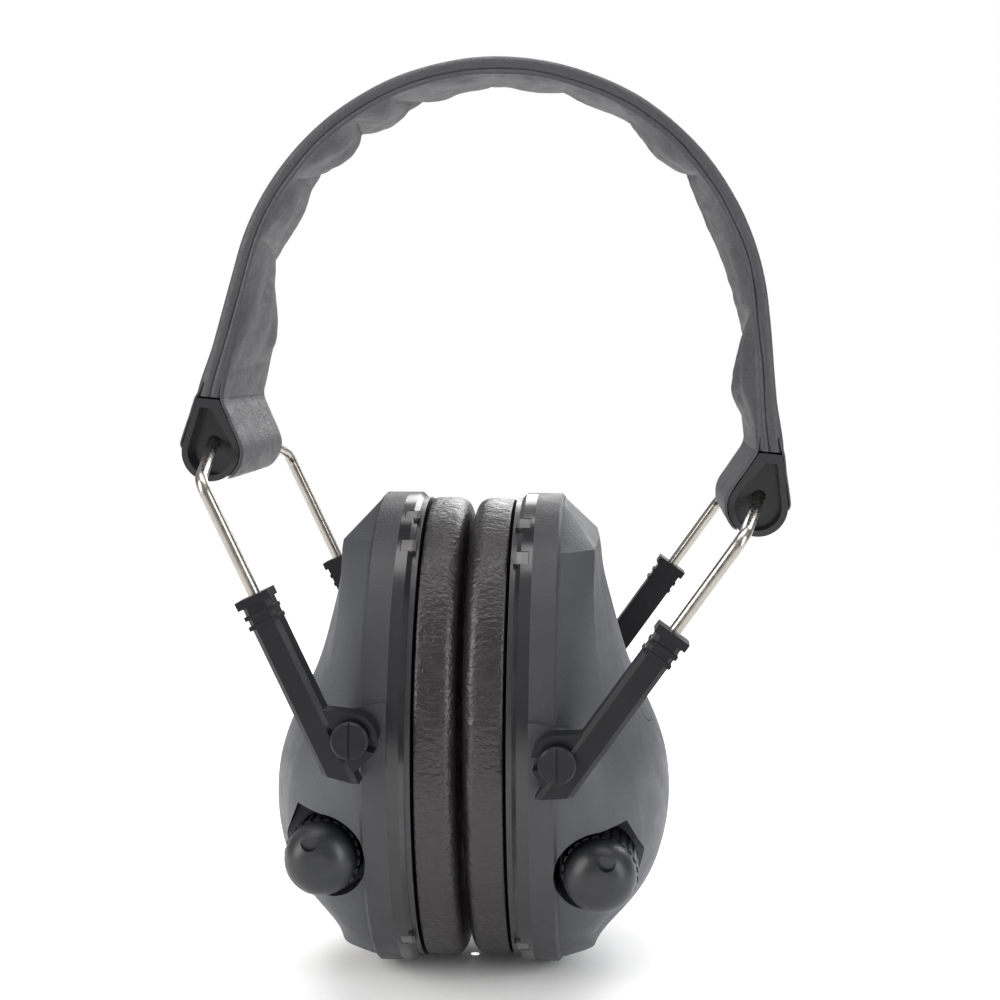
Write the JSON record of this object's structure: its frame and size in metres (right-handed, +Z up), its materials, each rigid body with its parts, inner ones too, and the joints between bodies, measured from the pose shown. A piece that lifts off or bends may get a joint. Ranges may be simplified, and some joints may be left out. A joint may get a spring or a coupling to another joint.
{
  "type": "earmuff hearing protector",
  "caption": "Folding electronic earmuff: padded sprung headband, wire bails in its end caps, sliding arms, and tilting oval ear cups with volume knobs.",
  "frame": {"origin": "on the midplane between the two ear cushions, at half the cups' height, where the wearer's head sits", "axes": "+Z up towards the crown of the headband, +X towards the right-hand cup as seen from the knobs' side, +Y away from the knobs' side"},
  "size_m": [0.1304, 0.1028, 0.201],
  "materials": {
    "shell_plastic": "fine spark-eroded texture, dark grey",
    "gloss_black": "polished black",
    "black_plastic": "plain moulded black",
    "satin_black": "satin black, slightly worn edges",
    "knob_black": "satin black",
    "cushion_leatherette": "fine grained black leatherette, semi-gloss",
    "band_leatherette": "matte charcoal leatherette",
    "foam": "open-cell foam",
    "stainless_wire": "drawn stainless wire",
    "plated_steel": "zinc plated",
    "circuit_green": "solder mask",
    "battery_jacket": "plain printed jacket, no text"
  },
  "bodies": {
    "headband": {"crown_cover": "band_leatherette", "crown_spring": "plated_steel", "crown_pad": "foam"},
    "left_band": {"left_band_cover": "band_leatherette", "left_band_spring": "plated_steel", "left_band_pad": "foam", "left_end_cap": "gloss_black", "left_cap_rivets": "plated_steel"},
    "left_bail": {"left_bail": "stainless_wire"},
    "left_arms": {"left_front_arm": "satin_black", "left_rear_arm": "satin_black"},
    "left_cup": {"left_shell": "shell_plastic", "left_rim": "gloss_black", "left_seal_plate": "gloss_black", "left_cushion": "cushion_leatherette", "left_liner": "foam", "left_baffle": "black_plastic", "left_speaker": "plated_steel", "left_circuit_board": "circuit_green", "left_volume_control": "plated_steel", "left_microphone": "plated_steel", "left_mic_screen": "foam", "left_batteries": "battery_jacket", "left_battery_contacts": "plated_steel", "left_pivot_pins": "satin_black", "left_case_screws": "plated_steel"},
    "left_knob": {"left_knob": "knob_black", "left_volume_shaft": "plated_steel"},
    "left_battery_door": {"left_battery_door": "shell_plastic"},
    "right_band": {"right_band_cover": "band_leatherette", "right_band_spring": "plated_steel", "right_band_pad": "foam", "right_end_cap": "gloss_black", "right_cap_rivets": "plated_steel"},
    "right_bail": {"right_bail": "stainless_wire"},
    "right_arms": {"right_front_arm": "satin_black", "right_rear_arm": "satin_black"},
    "right_cup": {"right_shell": "shell_plastic", "right_rim": "gloss_black", "right_seal_plate": "gloss_black", "right_cushion": "cushion_leatherette", "right_liner": "foam", "right_baffle": "black_plastic", "right_speaker": "plated_steel", "right_circuit_board": "circuit_green", "right_volume_control": "plated_steel", "right_microphone": "plated_steel", "right_mic_screen": "foam", "right_batteries": "battery_jacket", "right_battery_contacts": "plated_steel", "right_pivot_pins": "satin_black", "right_case_screws": "plated_steel"},
    "right_knob": {"right_knob": "knob_black", "right_volume_shaft": "plated_steel"},
    "right_battery_door": {"right_battery_door": "shell_plastic"}
  },
  "joints": [
    {"name": "left_spread", "type": "hinge", "parent": "headband", "child": "left_band", "pos_m": [0.01183, 0, 0.14721], "axis": [0, 1, 0], "range_deg": [0, 25], "stiffness_Nm_per_rad": 3.4},
    {"name": "left_bail_fold", "type": "hinge", "parent": "left_band", "child": "left_bail", "pos_m": [-0.05564, 0, 0.0657], "axis": [0, -1, 0], "range_deg": [0, 6]},
    {"name": "left_size_slide", "type": "slide", "parent": "left_bail", "child": "left_arms", "axis": [0.4274, 0, -0.9041], "range_m": [-0.021, 0.008]},
    {"name": "left_cup_tilt", "type": "hinge", "parent": "left_arms", "child": "left_cup", "pos_m": [-0.021, 0.00021, 0.005], "axis": [0, 0.9991, -0.0419], "range_deg": [-12, 12], "deforming": ["left_cushion"]},
    {"name": "left_volume", "type": "hinge", "parent": "left_cup", "child": "left_knob", "pos_m": [-0.0294, -0.02613, -0.02162], "axis": [0, 0.9991, -0.0419], "range_deg": [0, 290]},
    {"name": "left_battery_door_hinge", "type": "hinge", "parent": "left_cup", "child": "left_battery_door", "pos_m": [-0.0298, 0.00151, 0.03607], "axis": [0, 0.9991, -0.0419], "range_deg": [0, 75]},
    {"name": "right_spread", "type": "hinge", "parent": "headband", "child": "right_band", "pos_m": [0.01183, 0, 0.14721], "axis": [0, -1, 0], "range_deg": [0, 25], "stiffness_Nm_per_rad": 3.4},
    {"name": "right_bail_fold", "type": "hinge", "parent": "right_band", "child": "right_bail", "pos_m": [0.06284, 0, 0.0545], "axis": [0, 1, 0], "range_deg": [0, 6]},
    {"name": "right_size_slide", "type": "slide", "parent": "right_bail", "child": "right_arms", "axis": [-0.5779, 0, -0.8161], "range_m": [-0.017, 0.012]},
    {"name": "right_cup_tilt", "type": "hinge", "parent": "right_arms", "child": "right_cup", "pos_m": [0.021, -0.00021, 0.005], "axis": [0, -0.9991, -0.0419], "range_deg": [-12, 12], "deforming": ["right_cushion"]},
    {"name": "right_volume", "type": "hinge", "parent": "right_cup", "child": "right_knob", "pos_m": [0.0294, -0.02423, -0.02373], "axis": [0, 0.9991, 0.0419], "range_deg": [0, 290]},
    {"name": "right_battery_door_hinge", "type": "hinge", "parent": "right_cup", "child": "right_battery_door", "pos_m": [0.0298, -0.00151, 0.03607], "axis": [0, -0.9991, -0.0419], "range_deg": [0, 75]}
  ],
  "couplings": [
    {"joint": "right_spread", "follows": "left_spread", "ratio": 1}
  ]
}
